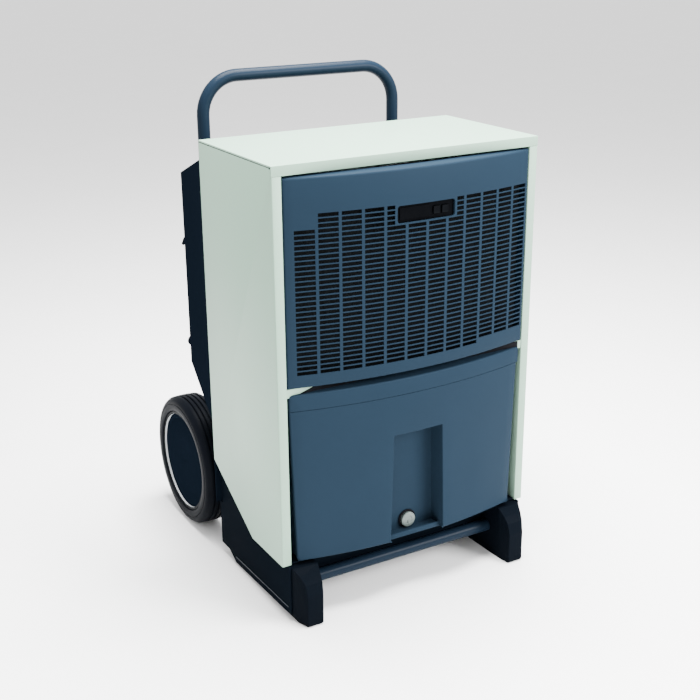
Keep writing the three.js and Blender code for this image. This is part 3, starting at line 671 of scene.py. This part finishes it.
def front_grille():
    edge = flat_half(GRILLE_HALF)
    across = [-edge, edge, *WINDOW]
    for column in range(COLUMNS):
        across += slot_sides(column)
    first_cut, last_cut = WINDOW_COLUMNS
    half_end = slot_sides(first_cut)[0] + HALF_SLOT
    half_start = slot_sides(last_cut)[1] - HALF_SLOT
    across += [half_end, half_start]
    across.sort()
    up = [*GRILLE_SPAN, *WINDOW_SPAN]
    for row in range(ROWS):
        top = TOP_ROW - row * ROW_PITCH
        up += [top - SLOT_HEIGHT, top]
    up.sort()
    panel = line_grid("front_grille_panel", across, up, lambda u, v: (u, v))

    def in_window(x, z):
        return WINDOW[0] < x < WINDOW[1] and WINDOW_SPAN[0] < z < WINDOW_SPAN[1]

    def is_slot(face):
        x, z = middle(face).x / MM, middle(face).z / MM
        if in_window(x, z):
            return True
        row, below = divmod(TOP_ROW - z, ROW_PITCH)
        if not 0 <= row < ROWS or below > SLOT_HEIGHT:
            return False
        for column in range(COLUMNS):
            left, right = slot_sides(column)
            if left < x < right:
                if row < WINDOW_ROWS and first_cut <= column <= last_cut:
                    return x < half_end or x > half_start
                starts_low = column == 0 and row < LEFT_ROWS_MISSING
                ends_high = column >= COLUMNS - SHORT_COLUMNS and row == ROWS - 1
                return not (starts_low or ends_high)
        return False

    start_editing(panel)
    pick(panel, "FACE", is_slot)
    bpy.ops.mesh.delete(type="FACE")
    pick(panel, "VERT", lambda v: (
        min(abs(v.co.x / MM - x) for x in WINDOW) < 0.1
        and min(abs(v.co.z / MM - z) for z in WINDOW_SPAN) < 0.1
    ))
    round_edges(5.0, 4, "VERTICES")
    low, high = GRILLE_SPAN[0] * MM, GRILLE_SPAN[1] * MM

    def on_outline(e):
        m = middle(e)
        return abs(abs(m.x) - edge * MM) < CLOSE or min(abs(m.z - low), abs(m.z - high)) < CLOSE

    def near_window(e):
        x, z = middle(e).x / MM, middle(e).z / MM
        wide = WINDOW[0] - 0.1 < x < WINDOW[1] + 0.1
        return wide and WINDOW_SPAN[0] - 0.1 < z < WINDOW_SPAN[1] + 0.1

    pick(panel, "EDGE", lambda e: e.is_boundary and on_outline(e))
    push(GRILLE_RETURN)
    pick(panel, "EDGE", lambda e: not e.is_boundary and abs(middle(e).y) < MERGE and on_outline(e))
    round_edges(4.0, 3)
    pick(panel, "EDGE", lambda e: e.is_boundary and near_window(e))
    push(WINDOW_DEPTH)
    put_down()
    with_modifier(panel, "SOLIDIFY", thickness=GRILLE_WALL * MM, offset=-1)
    ease(panel, 0.3, 1, 60)
    bow(panel, GRILLE_HALF)
    fit_out(panel, BLUE, "front", "front_blue", "front_grille")


def controls():
    for name in ("power_button", "mode_button"):
        low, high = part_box(name)
        key = cube_between(name + "_cap", Vector(low), Vector(high))
        start_editing(key)
        pick(key, "FACE", lambda f: f.normal.y < -0.9)
        bpy.ops.mesh.inset(thickness=1.6 * MM)
        bpy.ops.transform.translate(value=(0, 0.6 * MM, 0))
        put_down()
        ease(key, 0.5, 2, 20)
        fit_out(key, KEY, name, "key_black", name)


# ---- tank ----
def between(first, second, share):
    return first + (second - first) * share


def tank_front():
    """The bowed front: -1 to 1 is the recess's mouth, and the rest goes out to the tank's ends."""
    strips = 8
    beside = [1 + i / strips for i in range(strips + 1)]
    across = [-u for u in reversed(beside)] + [0] + beside
    seam = (RIM_SEAM - SEAM_WIDTH / 2, RIM_SEAM + SEAM_WIDTH / 2)
    up = [TANK_SPAN[0], *RECESS_SPAN, *seam, TANK_SPAN[1]]

    def spot(u, z):
        share = (z - TANK_SPAN[0]) / (RIM_SEAM - TANK_SPAN[0])
        ends = [between(low, top, share) for low, top in zip(TANK_LOW_ENDS, TANK_TOP_ENDS)]
        if z > RIM_SEAM:
            ends = RIM_ENDS
        rise = max(RECESS_SPAN[1] - z, 0) / (RECESS_SPAN[1] - RECESS_SPAN[0])
        mouth = between(RECESS_TOP_HALF, RECESS_LOW_HALF, rise)
        if abs(u) <= 1:
            return u * mouth, z
        end = ends[0] if u < 0 else ends[1]
        return between(math.copysign(mouth, u), end, abs(u) - 1), z

    panel = line_grid("tank_front", across, up, spot)
    start_editing(panel)
    near_end = 205 * MM
    pick(panel, "VERT", lambda v: abs(v.co.x) > near_end and (
        min(abs(v.co.z - z * MM) for z in TANK_SPAN) < CLOSE and len(v.link_edges) == 2
    ))
    round_edges(6.0, 4, "VERTICES")
    pick(panel, "EDGE", lambda e: e.is_boundary)
    push(TANK_RETURN)
    pick(panel, "EDGE", lambda e: len(e.link_faces) == 2 and abs(middle(e).y) < MERGE and any(
        abs(f.normal.y) < 0.5 for f in e.link_faces))
    round_edges(3.0, 3)
    pick(panel, "FACE", lambda f: f.normal.y < -0.9 and abs(middle(f).x) < RECESS_TOP_HALF * MM
         and RECESS_SPAN[0] < middle(f).z / MM < RECESS_SPAN[1])
    push(RECESS_DEPTH)

    def at_mouth(e):
        x, z = abs(middle(e).x) / MM, middle(e).z / MM
        sharp = len(e.link_faces) == 2 and e.calc_face_angle(0) > 1
        return sharp and x < RECESS_LOW_HALF + 1 and RECESS_SPAN[0] + 2 < z < RECESS_SPAN[1] + 1

    pick(panel, "EDGE", at_mouth)
    round_edges(1.5, 3)
    pick(panel, "FACE", lambda f: f.normal.y < -0.9 and abs(middle(f).z / MM - RIM_SEAM) < 0.2)
    push(SEAM_DEPTH)
    recess_foot = RECESS_SPAN[0] * MM + CLOSE
    pick(panel, "FACE", lambda f: (
        middle(f).z < recess_foot and abs(middle(f).x) < RECESS_LOW_HALF * MM
    ))
    bpy.ops.mesh.delete(type="FACE")
    put_down()
    with_modifier(panel, "SOLIDIFY", thickness=TANK_WALL * MM, offset=-1)
    ease(panel, 0.3, 1, 60)
    bow(panel, TANK_BOW_HALF)
    fit_out(panel, BLUE, "tank", "front_blue", "tank")


def tank_lip():
    lip = block("tank_lip", (-RECESS_LOW_HALF, -17, 106), (RECESS_LOW_HALF, -13.5, 115))
    ease(lip, 0.8, 2)
    fit_out(lip, BLUE, "tank", "front_blue")
    floor = block("tank_recess_floor", (-RECESS_LOW_HALF, -14, 107), (RECESS_LOW_HALF, 8, 110))
    ease(floor, 0.3, 1)
    fit_out(floor, BLUE, "tank", "front_blue")


def tank_body():
    inset = 7.5
    body = block(
        "tank_body", (RIM_ENDS[0] + inset, 9, 107.5), (TANK_TOP_ENDS[1] - inset, 150, 394)
    )
    start_editing(body)
    pick(body, "FACE", lambda f: f.normal.z < -0.9)
    bpy.ops.transform.resize(value=(0.962, 1, 1), center_override=at(-4, 150, 107.5))
    pick(body, "EDGE", lambda e: (
        abs(e.verts[0].co.z - e.verts[1].co.z) > 200 * MM and middle(e).y > at(0, 60, 0).y
    ))
    round_edges(14, 5)
    pick(body, "FACE", lambda f: f.normal.z > 0.9 or f.normal.y < -0.9)
    bpy.ops.mesh.delete(type="FACE")
    put_down()
    with_modifier(body, "SOLIDIFY", thickness=TANK_WALL * MM, offset=-1)
    ease(body, 0.6, 2, 50)
    fit_out(body, BLUE, "tank", "front_blue")


def drain_plug():
    low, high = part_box("drain_plug")
    centre = Vector(((low[0] + high[0]) / 2, low[1], (low[2] + high[2]) / 2))
    cap = [(0, 0.9), (6.6, 0.9), (7.2, 0.2), (11.8, 0), (13.2, 0.9), (13.5, 2.2), (13.5, 7.2),
           (12.6, 7.6), (7.4, 7.6), (7.4, 15), (0, 15)]
    plug = turned("drain_plug_cap", cap, centre, "Y", 48, closed=False)
    start_editing(plug)
    pick(plug, "FACE", lambda f: (
        abs(f.normal.y) < 0.1 and abs(middle(f).y - low[1] - 4.7 * MM) < 1 * MM
        and (middle(f) - centre).length > 12 * MM
    ))
    bpy.ops.mesh.inset(thickness=0.35 * MM, use_individual=True)
    bpy.ops.transform.resize(value=(0.965, 1, 0.965), center_override=centre)
    put_down()
    fit_out(plug, PLUG, "drain_plug", "plug_grey", "drain_plug")
    grip = block("drain_plug_grip", (0, 0, 0), (3, 2.4, 9.5))
    ease(grip, 0.7, 2)
    grip.location = Vector((centre.x, low[1] - 0.6 * MM, centre.z)) - at(1.5, 0, 10.5)
    settle(grip)
    fit_out(grip, PLUG, "drain_plug", "plug_grey")
    seal = [(13.7, 5.2), (16.0, 5.2), (16.6, 5.8), (16.6, 7.4), (13.7, 7.4)]
    ring = turned("drain_plug_seal", seal, centre, "Y", 48)
    fit_out(ring, MOUNT_AND_SHADE, "tank", "mount_rubber")


# ---- wheels ----
def tread():
    """Five lands across the tyre's crown, with grooves between them."""
    lands, land, groove, crown_middle = 5, 6.2, 3.0, 217
    first = crown_middle - (lands * land + (lands - 1) * groove) / 2

    def crown(x):
        return AXLE[1] - 0.0022 * (x - crown_middle) ** 2

    points = []
    for i in range(lands):
        left = first + i * (land + groove)
        right = left + land
        points += [(crown(left) - 0.5, left), (crown(left), left + 0.7)]
        points += [(crown(right), right - 0.7), (crown(right) - 0.5, right)]
        if i < lands - 1:
            points += [(crown(right) - 3, right + 0.4), (crown(right) - 3, right + groove - 0.4)]
    return points


def wheels():
    """Sections of (radius, reach) for the right wheel, then its mirror for the left."""
    tyre = [(97.4, 244), (97.4, 190), (101, 188), (108, 186.5), (115, 187.5), (120, 190.5)]
    tyre += tread()
    tyre += [(120.5, 243.5), (118, 245.6), (114, 247), (112, 247.2), (111.4, 246.4),
             (110.4, 246.4), (109.8, 247.5), (105, 248), (101, 247.6), (98.4, 246.6)]
    rim = [(10.9, 181.5), (24, 181.5), (25, 183), (27, 205), (88, 205), (90, 191), (91.5, 190),
           (97, 190), (97, 243.6), (96.4, 244.6), (92.6, 244.8), (91.9, 244.4), (91.9, 243.9),
           (92.8, 243.9), (92.8, 213), (27, 213), (25, 228), (24, 229), (10.9, 229)]
    ring = [(92.7, 234), (92.7, 243.8), (91.9, 243.8), (91.9, 234)]
    cap = [(0, 237), (80, 237), (91.7, 238.4), (91.7, 240.3), (90.9, 240.8), (88, 241.1),
           (84, 241.3), (83, 240.8), (82, 241.3), (7, 242.4), (6, 241.9), (3.4, 241.9),
           (2.6, 242.5), (0, 242.5)]
    for name, outline, steps, closed, finish, slot, node in (
        ("tyre_tread_", tyre, 96, True, TYRE, "tyre_rubber", "tyre_"),
        ("wheel_rim_", rim, 64, True, RIM, "rim_plastic", "rim_"),
        ("rim_ring_", ring, 96, True, RING, "steel_plated", None),
        ("hubcap_disc_", cap, 64, False, HUB, "hubcap_plastic", "hubcap_"),
    ):
        right = turned(name + "right", outline, at(0, *AXLE), "X", steps, closed)
        left = mirrored(right, name + "left")
        for side, piece in (("left", left), ("right", right)):
            nodes = [node + side] if node else []
            fit_out(piece, finish, "wheel_" + side, slot, *nodes)


# ---- handle ----
def tube_handle():
    low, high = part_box("handle")
    radius = (high[1] - low[1]) / 2
    leg = high[0] - radius
    depth = low[1] + radius
    bend = HANDLE_BEND * MM
    bar = high[2] - radius
    put_down()
    bpy.ops.mesh.primitive_circle_add(
        vertices=40, radius=radius, location=(-leg, depth, low[2]), fill_type="NGON"
    )
    handle = just_added("handle_tube")
    start_editing(handle)
    bpy.ops.mesh.extrude_region_move(TRANSFORM_OT_translate={"value": (0, 0, bar - bend - low[2])})
    bpy.ops.mesh.spin(
        steps=14, angle=-math.pi / 2, center=(-leg + bend, depth, bar - bend), axis=(0, 1, 0)
    )
    bpy.ops.mesh.extrude_region_move(TRANSFORM_OT_translate={"value": (2 * (leg - bend), 0, 0)})
    bpy.ops.mesh.spin(
        steps=14, angle=-math.pi / 2, center=(leg - bend, depth, bar - bend), axis=(0, 1, 0)
    )
    bpy.ops.mesh.extrude_region_move(TRANSFORM_OT_translate={"value": (0, 0, low[2] - bar + bend)})
    put_down()
    close_up(handle)
    fit_out(handle, TUBE, "handle", "handle_blue", "handle")


def cross_tube():
    low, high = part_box("cross_tube")
    left, right, chamfer = low[0] / MM, high[0] / MM, 1.5
    outline = [(0, left), (TUBE_RADIUS - chamfer, left), (TUBE_RADIUS, left + chamfer),
               (TUBE_RADIUS, right - chamfer), (TUBE_RADIUS - chamfer, right), (0, right)]
    centre = Vector((0, (low[1] + high[1]) / 2, (low[2] + high[2]) / 2))
    tube = turned("foot_cross_tube", outline, centre, "X", 40, closed=False)
    fit_out(tube, TUBE, "machine", "handle_blue", "cross_tube")


# ---- rear ----
def rear():
    for node, width, steps, finish, slot in (
        ("rear_casing", 1.2, 3, CASING, "plastic_black"),
        ("outlet_grille", 0.6, 2, CASING, "plastic_black"),
        ("handle_sleeve_left", 0.6, 2, CASING, "plastic_black"),
        ("handle_sleeve_right", 0.6, 2, CASING, "plastic_black"),
        ("cord_hook", 0.5, 2, CHASSIS, "steel_plated"),
        ("cord_peg", 0.5, 2, CASING, "plastic_black"),
    ):
        piece = whole_copy(node)
        if node == "cord_hook":
            start_editing(piece)
            hook_bend = at(0, 366, 0).y
            pick(piece, "VERT", lambda v: v.co.y > hook_bend)
            bpy.ops.transform.translate(value=(0, 7 * MM, 0))
            put_down()
        ease(piece, width, steps)
        fit_out(piece, finish, "machine", slot, node)
    for name in ("left", "right"):
        knob = whole_copy("clamp_knob_" + name)
        ease(knob, 1.0, 2)
        fit_out(knob, KEY, "knob_" + name, "key_black", "clamp_knob_" + name)


# ---- stage ----
def stage():
    put_down()
    bpy.ops.mesh.primitive_plane_add(size=60, location=(0, 0, 0))
    floor = just_added("floor")
    floor.data.materials.append(pale_floor("pale_floor"))
    world = bpy.data.worlds.new("studio")
    bpy.context.scene.world = world
    world.use_nodes = True
    background = world.node_tree.nodes["Background"]
    background.inputs["Color"].default_value = (1.0, 1.0, 1.0, 1.0)
    background.inputs["Strength"].default_value = 1.7
    for name, place, target, size, power in (
        ("top_softbox", (0.15, -0.1, 2.1), (0, -0.1, 0.5), 1.3, 340),
        ("front_softbox", (1.7, -2.5, 1.6), (0, -0.2, 0.45), 1.4, 265),
    ):
        light = bpy.data.lights.new(name, "AREA")
        light.energy = power
        light.size = size
        lamp = bpy.data.objects.new(name, light)
        bpy.context.collection.objects.link(lamp)
        lamp.location = place
        aim = Vector(target) - Vector(place)
        lamp.rotation_euler = aim.to_track_quat("-Z", "Y").to_euler()


def camera():
    lens = bpy.data.cameras.new("camera")
    lens.lens = 60.65
    lens.sensor_width = 36
    seat = bpy.data.objects.new("camera", lens)
    bpy.context.collection.objects.link(seat)
    turn = Matrix.Rotation(math.radians(CAMERA_TURN), 4, "Z")
    tilt = Matrix.Rotation(math.radians(90 - CAMERA_DOWN), 4, "X")
    roll = Matrix.Rotation(math.radians(CAMERA_ROLL), 4, "Z")
    seat.matrix_world = Matrix.Translation(at(*CAMERA_PLACE)) @ turn @ tilt @ roll
    bpy.context.scene.camera = seat


finish_inner_nodes()
cabinet()
rail_gap_shade()
cover_seam_shades()
front_grille()
controls()
tank_front()
tank_body()
tank_lip()
drain_plug()
wheels()
tube_handle()
cross_tube()
rear()
stage()
camera()
